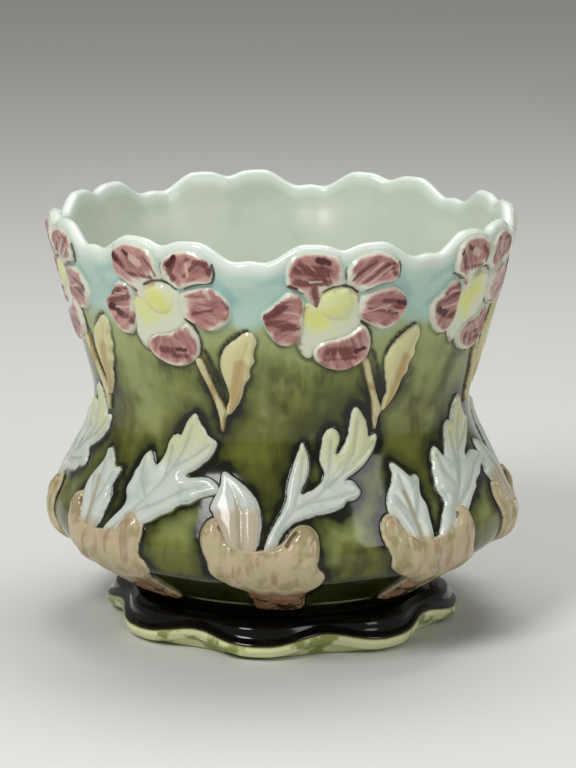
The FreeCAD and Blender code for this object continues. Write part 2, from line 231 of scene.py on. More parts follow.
TOOTHED_LEAF = [
    (-4.9, 44.6), (-3.4, 50), (-1, 55), (1.4, 59), (1.6, 61.5), (0.2, 64), (0.3, 66.6), (1.1, 69),
    (1.1, 71.6), (2.1, 73.6), (2.3, 76), (3.3, 78.6), (4.4, 79.6), (5.4, 79), (6.5, 76), (7.9, 74.5),
    (9.3, 77), (10.4, 80.5), (10.7, 84), (11.9, 86.6), (13.5, 87.6), (14.6, 86.8), (15.4, 89),
    (16.4, 92.2), (17.7, 94), (19.4, 96.6), (20.4, 95.5), (21, 92.4), (22.6, 90.2), (23.6, 87.4),
    (26.5, 86.2), (25.5, 82.6), (24.6, 80), (22.3, 77.5), (20.9, 75.6), (18.7, 74), (17.2, 72.4),
    (19.6, 72.2), (22.2, 72.9), (24.4, 73), (27, 71.6), (28.5, 69.4), (28.2, 67.8), (25, 67),
    (22.6, 65.4), (21.2, 63.8), (18.9, 63.2), (17, 62.2), (16.4, 60.4), (14.7, 59.6), (12.9, 58.3),
    (10.9, 56.3), (8.9, 54.4), (6.4, 52), (3.6, 49), (-0.8, 44.6),
]
BASE_TUFT = [
    (-9.6, 19.4), (-8.9, 24), (-9.6, 30), (-9.2, 33), (-12, 35.2), (-15, 37.4), (-17.6, 40.4),
    (-17.4, 44), (-18.8, 48), (-20, 52.6), (-19.6, 57), (-17.8, 59.8), (-15.4, 59.4), (-13.8, 56.6),
    (-13.2, 53), (-11.4, 50.2), (-7, 49), (-3, 49.6), (0, 51.4), (1.4, 53.6), (2.6, 56.4), (4.6, 58.2),
    (7.2, 57.8), (9, 55), (9.2, 50.4), (8.8, 46), (8.4, 43), (10.4, 40.4), (10.6, 37), (8.6, 34.2),
    (6.9, 31), (7.3, 25), (9, 19.4),
]


def smooth_loop(poles, per_side=4):
    """Points of the closed quadratic curve that runs just inside a drawn outline."""
    poles = np.array(poles, float)
    before = np.roll(poles, 1, axis=0)
    after = np.roll(poles, -1, axis=0)
    loop = []
    for t in np.arange(per_side) / per_side:
        loop.append(0.5 * ((1 - t) ** 2 * before + (1 + 2 * t - 2 * t * t) * poles + t * t * after))
    return np.stack(loop, axis=1).reshape(-1, 2)


def flat_mm(points, facing):
    """(degrees, height) as distances in millimetres on the unrolled wall, about a facing angle."""
    across = np.radians(points[:, 0] - facing) * wall_radius(points[:, 1])
    return np.column_stack((across, points[:, 1]))


def line_distance(points, lines, facing):
    """Distance from each point to the nearest of some chains of (degrees, height) points."""
    spots = flat_mm(points, facing)
    nearest = np.full(len(spots), np.inf)
    for line in lines:
        chain = flat_mm(np.array(line, float), facing)
        for start, end in zip(chain, chain[1:]):
            run = end - start
            offset = spots - start
            along = np.clip(offset @ run / (run @ run), 0, 1)
            gap = offset - along[:, None] * run
            nearest = np.minimum(nearest, np.einsum("ij,ij->i", gap, gap))
    return np.sqrt(nearest)


def distance_inside(points, loop, facing):
    """How far each point lies inside a loop, in millimetres; negative outside."""
    closed = np.concatenate((loop, loop[:1]))
    gap = line_distance(points, [closed], facing)
    across, height = flat_mm(points, facing).T
    corners = flat_mm(closed, facing)
    inside = np.zeros(len(points), bool)
    for start, end in zip(corners, corners[1:]):
        if start[1] != end[1]:
            run = end - start
            reach = start[0] + (height - start[1]) * run[0] / run[1]
            inside ^= ((start[1] > height) != (end[1] > height)) & (across < reach)
    return np.where(inside, gap, -gap)


def inside_any(points, loops, facing):
    """How far each point lies inside the nearest of some loops."""
    return np.max([distance_inside(points, loop, facing) for loop in loops], axis=0)


# outlines and the degrees that they are centred on
ORNAMENT = {
    "flower_petals": (PETALS, 15),
    "flower_centre": ([FLOWER_CENTRE], 12),
    "flower_stem": ([STEM], 26),
    "bud_leaf": ([BUD_LEAF], 33),
    "broad_leaf": ([BROAD_LEAF], -11),
    "lobed_leaf": ([LOBED_LEAF], 11),
    "base_tuft": ([BASE_TUFT], -5),
    "toothed_broad_leaf": ([TOOTHED_BROAD_LEAF], -11),
    "toothed_leaf": ([TOOTHED_LEAF], 11),
}
LOOPS = {name: [smooth_loop(outline) for outline in outlines]
         for name, (outlines, _) in ORNAMENT.items()}
FACING = {name: row[1] for name, row in ORNAMENT.items()}
FLOWER = ["flower_petals", "flower_centre", "flower_stem", "bud_leaf", "base_tuft"]
OPEN_CLUSTER = FLOWER + ["broad_leaf", "lobed_leaf"]
TOOTHED_CLUSTER = FLOWER + ["toothed_broad_leaf", "toothed_leaf"]

# ---- mesh helpers


def make_active(piece):
    bpy.ops.object.select_all(action="DESELECT")
    piece.select_set(True)
    bpy.context.view_layer.objects.active = piece


def set_mode(mode):
    bpy.ops.object.mode_set(mode=mode)


def coordinates(piece):
    flat = np.zeros(len(piece.data.vertices) * 3, np.float32)
    piece.data.vertices.foreach_get("co", flat)
    return flat.reshape(-1, 3).astype(float)


def set_coordinates(piece, points):
    piece.data.vertices.foreach_set("co", np.ascontiguousarray(points, np.float32).ravel())
    piece.data.update()


def degrees_round(points):
    """Angle of each point round from the front, -Y."""
    return np.degrees(np.arctan2(points[:, 0], -points[:, 1]))


def store(piece, name, values):
    """Keeps one number per vertex for the materials to read."""
    attribute = piece.data.attributes.new(name, "FLOAT", "POINT")
    attribute.data.foreach_set("value", np.ascontiguousarray(values, np.float32))


def duplicate(piece):
    """A copy of a piece, with its own mesh."""
    copy = piece.copy()
    copy.data = piece.data.copy()
    bpy.context.collection.objects.link(copy)
    return copy


def apply_modifier(piece, kind, **settings):
    modifier = piece.modifiers.new(kind.lower(), kind)
    for key, value in settings.items():
        setattr(modifier, key, value)
    make_active(piece)
    bpy.ops.object.modifier_apply(modifier=modifier.name)


def spun(name, profile, steps):
    """An outline of (radius, height) in millimetres, extruded point by point and spun."""
    bpy.ops.mesh.primitive_plane_add(size=MM)
    piece = bpy.context.object
    piece.name = name
    make_active(piece)
    set_mode("EDIT")
    bpy.ops.mesh.select_all(action="SELECT")
    bpy.ops.mesh.merge(type="CENTER")
    bpy.ops.transform.translate(value=(profile[0][0] * MM, 0, profile[0][1] * MM))
    for here, there in zip(profile, profile[1:]):
        move = ((there[0] - here[0]) * MM, 0, (there[1] - here[1]) * MM)
        bpy.ops.mesh.extrude_region_move(TRANSFORM_OT_translate={"value": move})
    bpy.ops.mesh.select_all(action="SELECT")
    bpy.ops.mesh.spin(steps=steps, angle=2 * math.pi, center=(0, 0, 0), axis=(0, 0, 1))
    bpy.ops.mesh.select_all(action="SELECT")
    bpy.ops.mesh.remove_doubles(threshold=0.02 * MM)
    bpy.ops.mesh.normals_make_consistent(inside=False)
    set_mode("OBJECT")
    bpy.ops.object.shade_smooth()
    return piece


# ---- pot

FOOT_BOTTOM = 9
FOOT_HOLLOW = 46.2  # radius inside the foot ring
FOOT_RADIUS = 52.2
BARE = 30.0  # stored as the distance to the relief where there is none near


def make_pot():
    """Bowl with a hollow foot ring and a rounded, scalloped rim."""
    inner = [(r - WALL, z, c) for r, z, c in reversed(WALL_CORNERS[2:4])]
    outline = (
        [(0, LEDGE_HEIGHT, 0), (FOOT_HOLLOW, LEDGE_HEIGHT, 1.5), (FOOT_HOLLOW, FOOT_BOTTOM, 1.2),
         (FOOT_RADIUS, FOOT_BOTTOM, 1.2), (FOOT_RADIUS, 14.6, 2), (56.5, 17.4, 1.5), (61, 19.6, 0.9)]
        + WALL_CORNERS[1:4]
        + [(RIM_RADIUS, POT_TOP, LIP), (RIM_RADIUS - WALL, POT_TOP, LIP)]
        + inner
        + [(87.1, 43.1, 8), (61, FLOOR, 5), (0, FLOOR, 0)]
    )
    path = rounded_path(outline, 1.3)
    crown = int(np.argmax(path[:, 1]))
    outside_step = 1.6
    profile = np.concatenate(
        (resampled(path[:crown + 1], outside_step), resampled(path[crown:], 4)[1:]))
    pot = spun("pot_glazed", profile, 336)
    points = coordinates(pot) / MM
    degrees = degrees_round(points)
    radius = np.hypot(points[:, 0], points[:, 1])
    height = points[:, 2]
    # distance down from the rim, positive outside and negative inside
    middle = wall_radius(np.clip(height, LEDGE_HEIGHT, POT_TOP)) - WALL / 2
    outside = (radius > middle) & (height > LEDGE_HEIGHT - 1)
    depth = np.where(outside | (height < LEDGE_HEIGHT + 2), POT_TOP - height, height - POT_TOP)
    points[:, 2] -= rim_drop(degrees) * rim_share(height)
    set_coordinates(pot, points * MM)
    store(pot, "rim_depth", depth)
    store(pot, "from_relief", np.where(outside, relief_gap(degrees, points[:, 2]), BARE))
    drawn = from_motif(degrees) + MOTIF_TURN
    store_strokes(pot, np.column_stack((drawn, np.where(outside, points[:, 2], 0))))
    return pot


# ---- ornament


NEAR = (8, 10)  # degrees and millimetres round an outline in which the distance to it counts


def relief_gap(degrees, height):
    """Distance from each wall point to the nearest ornament, in millimetres; negative on one."""
    pair = 2 * PITCH
    own = (degrees + pair / 2) % pair - pair / 2
    gap = np.full(len(own), BARE)
    for step in range(-2, 3):
        points = np.column_stack((own - step * PITCH, height))
        for name in (TOOTHED_CLUSTER if step % 2 else OPEN_CLUSTER):
            for loop in LOOPS[name]:
                low = loop.min(0) - NEAR
                high = loop.max(0) + NEAR
                near = np.all((points > low) & (points < high), axis=1)
                if near.any():
                    away = -distance_inside(points[near], loop, FACING[name])
                    gap[near] = np.minimum(gap[near], away)
    return gap


SKIRT = 1.3  # width of the glaze fillet round each ornament
SHEET = 1.2  # thickness of an ornament's shell
SUNK = 0.09  # the fillet's edge lies this far under the wall's surface
FILLET_SHARE = 0.21  # how far up an ornament's side its fillet reaches


def raised(inside, height, run=1.1):
    """Height of an ornament's edge: a fillet of glaze outside, then a steep rounded side."""
    fillet = FILLET_SHARE * height * ramp(-SKIRT, 0, inside) ** 2 - SUNK
    short = 1 - np.clip(inside / run, 0, 1)
    side = (1 - FILLET_SHARE) * height * (1 - short ** 2.2)
    return np.where(inside > 0, fillet + side, fillet)


def drawn_to_edge(points, loops, facing):
    """Moves the grid points nearest the outline onto it, so that its edge is clean."""
    inside = inside_any(points, loops, facing)
    near = np.abs(inside) < 0.5 * CELL
    nudge = 0.04  # millimetres over which the slope of the distance is taken
    scale = np.degrees(1 / wall_radius(points[near, 1]))
    right = inside_any(points[near] + np.column_stack((nudge * scale, 0 * scale)), loops, facing)
    above = inside_any(points[near] + (0, nudge), loops, facing)
    slope = np.column_stack((right, above)) - inside[near, None]
    slope /= np.maximum(np.linalg.norm(slope, axis=1), 1e-9)[:, None]
    move = -inside[near, None] * slope
    points[near] += np.column_stack((move[:, 0] * scale, move[:, 1]))
    inside[near] = 0
    return points, inside


def cut_sheet(name):
    """A flat grid cut to an ornament's outline, with its drawn points and how far inside they lie."""
    loops = LOOPS[name]
    facing = FACING[name]
    corners = flat_mm(np.concatenate(loops), facing)
    low = corners.min(0) - SKIRT - CELL
    size = corners.max(0) + SKIRT + CELL - low
    bpy.ops.mesh.primitive_grid_add(
        x_subdivisions=int(size[0] / CELL), y_subdivisions=int(size[1] / CELL), size=1)
    piece = bpy.context.object
    piece.name = name
    flat = low + (coordinates(piece)[:, :2] + 0.5) * size
    across = np.degrees(flat[:, 0] / wall_radius(flat[:, 1]))
    points = np.column_stack((facing + across, flat[:, 1]))
    beyond = inside_any(points, loops, facing) < -SKIRT - 0.7 * CELL
    make_active(piece)
    set_mode("EDIT")
    bpy.ops.mesh.select_mode(type="VERT")
    bpy.ops.mesh.select_all(action="DESELECT")
    set_mode("OBJECT")
    piece.data.vertices.foreach_set("select", beyond)
    set_mode("EDIT")
    bpy.ops.mesh.delete(type="VERT")
    set_mode("OBJECT")
    return piece, *drawn_to_edge(points[~beyond], loops, facing)


def store_marks(piece, name, points, inside):
    """What the materials read on an ornament: its edge, folds, washes and the wall's brushwork."""
    facing = FACING[name]
    store(piece, "inside", inside)
    store(piece, "from_relief", relief_gap(points[:, 0], points[:, 1]))
    store(piece, "rim_depth", POT_TOP - points[:, 1])
    store_strokes(piece, points)
    if name in FOLDS or name == "base_tuft":
        store(piece, "fold", line_distance(points, FOLDS.get(name, EAR_HOLLOWS), facing))
        store(piece, "reach", points[:, 1])
    if name in FOLDS:
        tan_top, tan_foot = (68, 57) if name == "broad_leaf" else (56, 46)
        store(piece, "brown", brushed(points, BROWN_WASHES, facing, bleed=1.6))
        store(piece, "tan", ramp(tan_top, tan_foot, points[:, 1]))
    if name == "flower_centre":
        spread = [np.exp(-(line_distance(points, [path], facing) / width) ** 2)
                  for width, *path in YELLOW_DABS]
        store(piece, "dab", np.max(spread, axis=0))


def painted_twice(piece):
    """The flower head and a copy of it, each painted in its own way."""
    pair = [piece, duplicate(piece)]
    for way, flower in enumerate(pair):
        shell = coordinates(flower)
        drawn = np.column_stack((degrees_round(shell), shell[:, 2] / MM))
        for key, values in paint_petals(drawn, way).items():
            store(flower, key, values)
    return pair


def pressed_sheet(name):
    """An ornament, modelled in height and laid on the wall, in as many paintings as it has."""
    piece, points, inside = cut_sheet(name)
    lift = MODELLING[name](points, inside, FACING[name])
    set_coordinates(piece, on_wall(points[:, 0], points[:, 1], lift))
    store_marks(piece, name, points, inside)
    apply_modifier(piece, "SOLIDIFY", thickness=SHEET * MM, offset=-1, use_even_offset=False)
    bpy.ops.object.shade_smooth()
    return painted_twice(piece) if name == "flower_petals" else [piece]


def store_strokes(piece, points):
    """Brushwork that lies on the wall as well as on the ornaments: creases, painted shadows beside the
    stem and the bud leaf, and teal streaks.
    """
    facing = FACING["flower_petals"]
    store(piece, "crease", brushed(points, CREASES, facing))
    store(piece, "shadow", brushed(points, STEM_SHADOWS, facing, bleed=2.2))
    store(piece, "teal", brushed(points, TEAL_STREAKS, facing, bleed=2.8))


CENTRE_AT = np.array((13.6, 141.4))  # the button of the flower
BUTTON_RADIUS = 5.8


def polar_about(points, centre, facing):
    """Distance and angle of wall points about a centre, in millimetres and radians."""
    offset = flat_mm(points, facing) - flat_mm(centre[None, :], facing)
    return np.hypot(offset[:, 0], offset[:, 1]), np.arctan2(offset[:, 1], offset[:, 0])


def model_petals(points, inside, facing):
    """Dished petals with a rolled edge and soft ribs that run out from the button."""
    reach, angle = polar_about(points, CENTRE_AT, facing)
    ribs = 0.08 * np.sin(angle * 30 + np.sin(reach * 0.5)) * ramp(0.8, 2.5, inside)
    lift = raised(inside, 2.4, 1.5) - 0.7 * ramp(0.9, 4.2, inside) + ribs
    into_throat = 0.5 * ramp(14, 7, reach)
    into_rim = 0.55 * ramp(156.5, 161, points[:, 1])
    return lift * (1 - into_throat) * (1 - into_rim)


def model_centre(points, inside, facing):
    """Throat of the flower, level with the petals round it, with a domed button on it."""
    reach, _ = polar_about(points, CENTRE_AT, facing)
    dome = np.sqrt(np.clip(1 - (reach / BUTTON_RADIUS) ** 2, 0, 1))
    grain = 0.10 * np.sin(points[:, 0] * 4.1) * np.sin(points[:, 1] * 3.3)
    return raised(inside, 1.1, 2.2) + dome * 1.1 + grain * (dome > 0.2)


def model_stem(points, inside, facing):
    """Half-round stem."""
    return raised(inside, 1.0, 0.8) + 0.9 * np.sqrt(np.clip(inside / 1.6, 0, 1))


# veins of each leaf, as chains of (degrees, height)
FOLDS = {
    "bud_leaf": [[(30.6, 99), (32.6, 108), (34, 117), (36.6, 127)]],
    "broad_leaf": [[(-9, 45), (-9.8, 54), (-10.4, 62), (-12.6, 69), (-14.6, 73)]],
    "toothed_broad_leaf": [[(-9, 45), (-9.8, 54), (-10.6, 64), (-11.8, 72)],
                           [(-10, 56), (-14, 65)], [(-10, 56), (-7.2, 64), (-6.4, 69)]],
    "lobed_leaf": [[(-3.2, 46), (-0.8, 56), (3, 62.5), (9, 67), (16, 74), (20.6, 82), (22, 94)],
                   [(3, 62.5), (5, 72), (6.2, 82)], [(11, 68.6), (13.4, 78), (14.2, 88)],
                   [(16, 74), (22, 79), (27, 85.6)], [(6, 65), (13, 66.4), (19.6, 68.4)]],
    "toothed_leaf": [[(-2.6, 46), (3, 55), (8, 63), (12, 70), (16, 80), (19, 92)],
                     [(8, 63), (4.6, 70), (3.8, 76)], [(12, 70), (12.4, 77), (12.6, 83)],
                     [(14, 75), (20, 80), (24, 84.6)], [(3, 56), (12, 62), (19, 68), (26, 70.4)]],
}


def model_leaf(name, height, crown):
    """Leaf blade that swells between its edge and the soft folds of its veins."""

    def modelled(points, inside, facing):
        fold = line_distance(points, FOLDS[name], facing)
        swell = ramp(0, 3.4, fold) * ramp(0.2, 3, inside)
        return raised(inside, height) + crown * swell

    return modelled


EAR_HOLLOWS = [[(-14.2, 55.4), (-15, 56.4)], [(1.4, 51), (2.2, 53.6), (3.4, 55)]]
EAR_KNOBS = [(-17.4, 55.6), (5.2, 53.8)]


def model_tuft(points, inside, facing):
    """Fleshy tuft with two curled ears and a fluted stalk."""
    lift = raised(inside, 2.5, 1.8) + 0.7 * ramp(1, 6, inside)
    for centre in EAR_KNOBS:
        reach, _ = polar_about(points, np.array(centre, float), facing)
        lift += 0.8 * np.sqrt(np.clip(1 - (reach / 4.2) ** 2, 0, 1)) * ramp(0, 1.5, inside)
    hollow = line_distance(points, EAR_HOLLOWS, facing)
    lift -= 1.3 * np.exp(-(hollow / 0.8) ** 2)
    column = np.abs(points[:, 0] + 8.4)
    lift += 0.9 * ramp(5.2, 3.4, column) * ramp(34, 40, points[:, 1])
    flutes = np.cos(np.radians((points[:, 0] + 5) * 62))
    return lift + 0.22 * flutes * ramp(0.8, 3, inside) * ramp(52, 46, points[:, 1])


MODELLING = {
    "flower_petals": model_petals,
    "flower_centre": model_centre,
    "flower_stem": model_stem,
    "bud_leaf": model_leaf("bud_leaf", 1.8, 0.5),
    "broad_leaf": model_leaf("broad_leaf", 2.0, 0.45),
    "toothed_broad_leaf": model_leaf("toothed_broad_leaf", 2.0, 0.7),
    "lobed_leaf": model_leaf("lobed_leaf", 1.9, 0.6),
    "toothed_leaf": model_leaf("toothed_leaf", 1.9, 0.8),
    "base_tuft": model_tuft,
}


# ---- stand

STAND_RADIUS = 70.3
LOBE_TURN = MOTIF_TURN + PITCH / 2  # degrees from the front to the nearest lobe of the stand
LOBE_DEPTH = 5.2 / 70  # share of the radius that is drawn in between lobes
LOBE_RISE = 3.0  # how far the lip rises there


def make_stand():
    """Low dish with a shoulder and a wavy lip that droops at each lobe; the shoulder's near-black
    glaze is painted shade.
    """
    outline = [
        (0, 4, 0), (51.5, 4, 3), (56.5, 0, 0.8), (62.5, 0, 1.2), (69, 1.7, 2.4),
        (STAND_RADIUS, 4.2, 1.2), (69.8, 6.8, 1.4), (67.4, 8.6, 3), (66.4, 12.6, 3),
        (62.5, 14.5, 3), (56, 14.5, 1.5), (52.6, 12.8, 0.8), (52.6, 9, 0.8), (0, 9, 0),
    ]
    profile = resampled(rounded_path(outline, 0.5), 1.3)
    stand = spun("stand_glazed", profile, 480)
    points = coordinates(stand) / MM
    radius = np.hypot(points[:, 0], points[:, 1])
    wave = np.cos(np.radians((degrees_round(points) - LOBE_TURN) * MOTIFS))
    pinch = ((1 - wave) / 2) ** 1.4
    outer = ramp(57, 66, radius)
    shrink = 1 - pinch * outer * LOBE_DEPTH
    lift = pinch * ramp(62.5, 68, radius) * LOBE_RISE
    points[:, 0] *= shrink
    points[:, 1] *= shrink
    store(stand, "lip", ramp(7.2, 4.4, points[:, 2]) * ramp(60, 66, radius))
    points[:, 2] += lift * ramp(14.5, 8, points[:, 2])
    set_coordinates(stand, points * MM)
    return stand


# ---- painting

# Brush strokes: (millimetres wide, (degrees, height), ...), on the same drawing.
# Flowers were painted in turn in two ways.
PINK_WASHES = [[
    (9, (5, 155), (10.4, 154.6)), (5, (5, 150.4), (12, 151)), (3.6, (7.6, 148), (8.6, 142)),
    (6.4, (18.6, 155), (26, 155.4)), (4, (18.4, 150.6), (25.4, 151.6)),
    (7, (23.4, 140.6), (29.6, 141)), (5.4, (21.8, 136.4), (28.6, 135.6)),
    (7.4, (12.6, 121.6), (19.8, 122.6)), (3.4, (11, 118.6), (18, 117)),
    (7.8, (-1.6, 136.6), (3, 140.6)), (6, (-2.4, 134), (2.6, 132)),
    (4.4, (-0.6, 129), (2.8, 128.4)),
], [
    (7, (4.4, 154.6), (11, 154)), (3.4, (4.4, 150.4), (11.6, 149.8)),
    (7.4, (20.4, 155), (26.4, 154)), (3, (19, 151), (20, 148.6)),
    (7, (27.4, 144.4), (30.6, 138.4)), (5, (23.6, 136.8), (30, 137)), (4, (24.6, 133.4), (26, 133)),
    (6.4, (13.4, 124.6), (18, 121)), (6, (19, 127), (23, 123)), (4, (13, 119.6), (20, 119)),
    (4, (0.6, 142), (6, 143)), (5.6, (-1, 137), (3, 139)), (5, (0, 133), (4, 132)),
]]
MAROON_STROKES = [[
    (5, (4, 155.4), (10.4, 153.6)), (3.4, (3.4, 150.2), (11, 150)), (2.4, (7.8, 147.6), (8.6, 141)),
    (1.5, (17, 150.6), (19, 153.6), (22.4, 157)), (1.3, (19.6, 149), (22.6, 152.4), (25.4, 155.8)),
    (1.5, (24.4, 151.4), (26.6, 156)), (2.2, (26.2, 155), (27.4, 151.8)),
    (2.2, (25.6, 141.6), (31.4, 140.4)), (2.8, (26.8, 137.6), (30.8, 138.8)),
    (1.6, (22, 138.6), (27, 137.4)),
    (4.4, (12.6, 122.4), (18, 122.6)), (1.8, (11.6, 119.6), (19.4, 120)),
    (4.2, (-3.4, 137.4), (0.4, 141)), (3.6, (-3, 134.8), (2.6, 133)),
    (1.6, (0.4, 131.6), (4.4, 132.4)),
], [
    (2.6, (2.4, 157), (4.4, 151.6)), (1.8, (11, 157), (13.2, 153.6), (13.8, 150.4)),
    (1.8, (4.4, 150), (12.6, 149.2)),
    (2.8, (19.4, 157.4), (18, 153.4), (18.6, 149.4)), (1.6, (24.4, 155.6), (21.6, 151)),
    (2.6, (23, 157.4), (27.2, 156.4), (28.4, 152.8)), (2, (30.8, 144.6), (32, 140)),
    (1.4, (23, 136.8), (28, 138.6)),
    (2.2, (-0.6, 141), (3, 143.6), (7, 143.2)), (2.4, (-2.6, 137.4), (1.6, 139), (5, 140.6)),
    (3.4, (-2.4, 135.6), (0.4, 132.8), (3.6, 131.6)), (1.7, (3.6, 130.4), (8, 131.2)),
    (3.2, (12.4, 121.4), (15.4, 121)), (2, (15.6, 119.2), (20, 119.6)),
]]
DARK_DABS = [[
    (2.6, (8.4, 158.6), (11, 157.4)), (2, (29.4, 140.8), (31.6, 139.6)),
    (2.2, (19.6, 122.4), (21.4, 123.4)),
    (1.5, (1.9, 148.6), (3.6, 147.8)), (1.7, (27.2, 137.4), (29.4, 136.2)),
], [
    (1.9, (5, 158.2), (6.6, 156.4)), (2.2, (19.4, 158), (17.8, 155)),
    (3, (-2.4, 135.4), (0.8, 133)), (2, (17, 122), (19.6, 121.8)),
    (1.8, (1.9, 157.4), (2.8, 154.8)),
]]
CREAM_STREAKS = [[
    (1.1, (6.6, 150.3), (9.4, 150.3)), (1.2, (17.9, 148.6), (20.4, 152), (24, 156.4)),
    (1, (20.6, 148.4), (23.6, 151.4), (26.4, 155)), (0.9, (20.4, 137.6), (27.4, 139.6)),
    (0.8, (0.6, 138.6), (4, 138)),
], [
    (3.4, (7.4, 156), (9.4, 154.4)), (1.6, (22.4, 155.6), (22.6, 151.4)),
    (1, (-0.8, 135.4), (4, 136)), (2.4, (26.6, 145.4), (27.6, 143.6)), (0.8, (0, 141), (4, 141.4)),
]]
# dark creases painted where one petal lies over another, and beside the stem
CREASES = [
    (1.3, (1.5, 148.6), (3.2, 147.6), (5, 146)),
    (1.4, (9.9, 146.3), (12, 148), (14.4, 148.6), (17, 147.6), (18.6, 145.7)),
    (1.2, (21, 146.1), (23.4, 147.8), (26, 148.6), (28.4, 149), (29.1, 152.6), (28.6, 156)),
    (1.5, (20.2, 134), (22.4, 131.8), (23.8, 128), (24.2, 124), (23.6, 120.6)),
    (0.7, (15.2, 157.4), (15.3, 150.6)),
]
STEM_SHADOWS = [
    (2.6, (24.6, 122), (26.2, 117), (27.6, 111.6), (28.8, 106), (29.4, 101)),
    (2.8, (28.8, 120.6), (29.8, 124.2), (31.8, 127.2), (34.2, 129.4), (36.2, 130.8)),
]
TEAL_STREAKS = [
    (4, (-5.6, 148.2), (-2.6, 150), (1, 151.4)), (4, (29.6, 149.6), (31.6, 146.6), (33.2, 142.6)),
]
YELLOW_DABS = [(6.4, (13, 141.6), (13.6, 140.8)), (4.8, (7.6, 138), (10, 133.6))]
BROWN_WASHES = [
    (2.6, (-9.4, 47), (-9.8, 54), (-10.6, 61), (-11.6, 66)),
    (4.6, (31.6, 101), (33.2, 110), (34.4, 118)),
]


def brushed(points, strokes, facing, bleed=1.0):
    """How thickly a set of strokes covers each wall point: 1 under a stroke, 0 off it."""
    cover = np.zeros(len(points))
    for width, *path in strokes:
        gap = line_distance(points, [path], facing)
        soft = min(1.2, 0.35 + width / 5) * bleed
        cover = np.maximum(cover, ramp(width / 2 + soft, width / 2 - soft, gap))
    return cover


def paint_petals(points, way):
    """The strokes on a flower head; the washes fade out towards its throat."""
    facing = FACING["flower_petals"]
    strokes = {"wash": PINK_WASHES, "stroke": MAROON_STROKES, "dab": DARK_DABS,
               "streak": CREAM_STREAKS}
    layers = {name: brushed(points, ways[way], facing) for name, ways in strokes.items()}
    layers["reach"], layers["angle"] = polar_about(points, CENTRE_AT, facing)
    filled = ramp(0.7, 2, inside_any(points, LOOPS["flower_petals"], facing))
    outer = ramp(10.5, 15.5, layers["reach"])
    layers["wash"] = np.maximum(layers["wash"], 0.75 * filled * outer)
    layers["wash"] *= 0.35 + 0.65 * ramp(8.5, 12, layers["reach"])
    return layers


# ---- materials


def glaze_colour(code):
    """An sRGB hex colour as linear red, green, blue, alpha."""
    parts = [int(code[i:i + 2], 16) / 255 for i in (1, 3, 5)]
    linear = [c / 12.92 if c <= 0.04045 else ((c + 0.055) / 1.055) ** 2.4 for c in parts]
    return (*linear, 1)


class Glaze:
    """A glaze being painted: colours brushed over each other, then fired under a glassy skin."""

    def __init__(self, name, ground, marks):
        self.material = bpy.data.materials.new(name)
        self.material.use_nodes = True
        self.tree = self.material.node_tree
        self.tree.nodes.clear()
        self.place = self.add_node("TexCoord", out="Object")
        self.marks = {mark: self.add_node("Attribute", out="Fac", attribute_name=mark)
                      for mark in marks}
        self.colour = ground

    def add_node(self, kind, inputs=None, out=0, **settings):
        """Adds a shader node and gives one of its outputs, if it has any.

        inputs fills or links its sockets by name or number; settings are its properties.
        """
        node = self.tree.nodes.new("ShaderNode" + kind)
        for key, value in settings.items():
            setattr(node, key, value)
        for key, value in (inputs or {}).items():
            socket = node.inputs[key]
            if isinstance(value, bpy.types.NodeSocket):
                self.tree.links.new(value, socket)
            else:
                socket.default_value = glaze_colour(value) if isinstance(value, str) else value
        return node.outputs[out] if node.outputs else None

    def clouds(self, size_mm, stretch=1.0, detail=3.0, at=0.0):
        """Soft unevenness about size_mm across, drawn out vertically by stretch.

        at picks another stretch of the noise.
        """
        squeezed = self.add_node("Mapping", {
            "Vector": self.place, "Location": (at, 0, at), "Scale": (1, 1, 1 / stretch)})
        return self.add_node("TexNoise", {
            "Vector": squeezed, "Scale": 0.6 / (size_mm * MM), "Detail": detail,
            "Roughness": 0.55})

    def uneven(self, value, *terms):
        """value, moved up and down by each (clouds, reach)."""
        middle = -0.5 * sum(reach for _, reach in terms)
        value = self.add_node("Math", {0: value, 1: middle})
        for cloud, reach in terms:
            value = self.add_node("Math", {0: cloud, 1: reach, 2: value}, operation="MULTIPLY_ADD")
        return value

    def brush(self, colour, *edges, most=1.0):
        """Lays a colour over what is there, as thickly as most, where every edge lets it.

        An edge is (value, bare, full): none of the colour where value is at bare, all at full.
        """
        cover = most
        for value, bare, full in edges:
            cover = self.add_node("MapRange", {
                "Value": value, "From Min": bare, "From Max": full, "To Max": cover},
                interpolation_type="SMOOTHSTEP")
        self.colour = self.add_node("Mix", {0: cover, 6: self.colour, 7: colour}, out=2,
                                    data_type="RGBA")

    def fired(self, ripple_mm=5.0):
        """Finishes the material: a glassy skin, slightly rippled, and duller inside the pot."""
        roughness = self.add_node("MapRange", {
            "Value": self.clouds(7, at=0.1), "From Min": 0.3, "From Max": 0.7,
            "To Min": 0.07, "To Max": 0.15})
        if "rim_depth" in self.marks:
            dull = self.add_node("MapRange", {
                "Value": self.marks["rim_depth"], "From Min": -2, "From Max": -9, "To Max": 0.22})
            roughness = self.add_node("Math", {0: dull, 1: roughness})
        ripple = self.add_node("Bump", {
            "Height": self.clouds(ripple_mm, detail=2.0, at=0.3), "Distance": RIPPLE * MM})
        skin = self.add_node("BsdfPrincipled", {
            "Base Color": self.colour, "Roughness": roughness, "IOR": GLAZE_IOR,
            "Specular IOR Level": 0.38, "Normal": ripple})
        self.add_node("OutputMaterial", {"Surface": skin})
        return self.material


RIPPLE = 0.05  # height of the ripples in the glaze, in millimetres
GLAZE_IOR = 1.5
WALL_MARKS = ("rim_depth", "from_relief", "crease", "shadow", "teal")
BARE_GLAZE = "#E1E9DD"


def paint_creases(glaze, wobble):
    """Dark lines where one petal lies over another, also across the ornaments."""
    crease = glaze.uneven(glaze.marks["crease"], (wobble, 0.6))
    glaze.brush("#46201C", (crease, 0.3, 1.0), most=0.85)


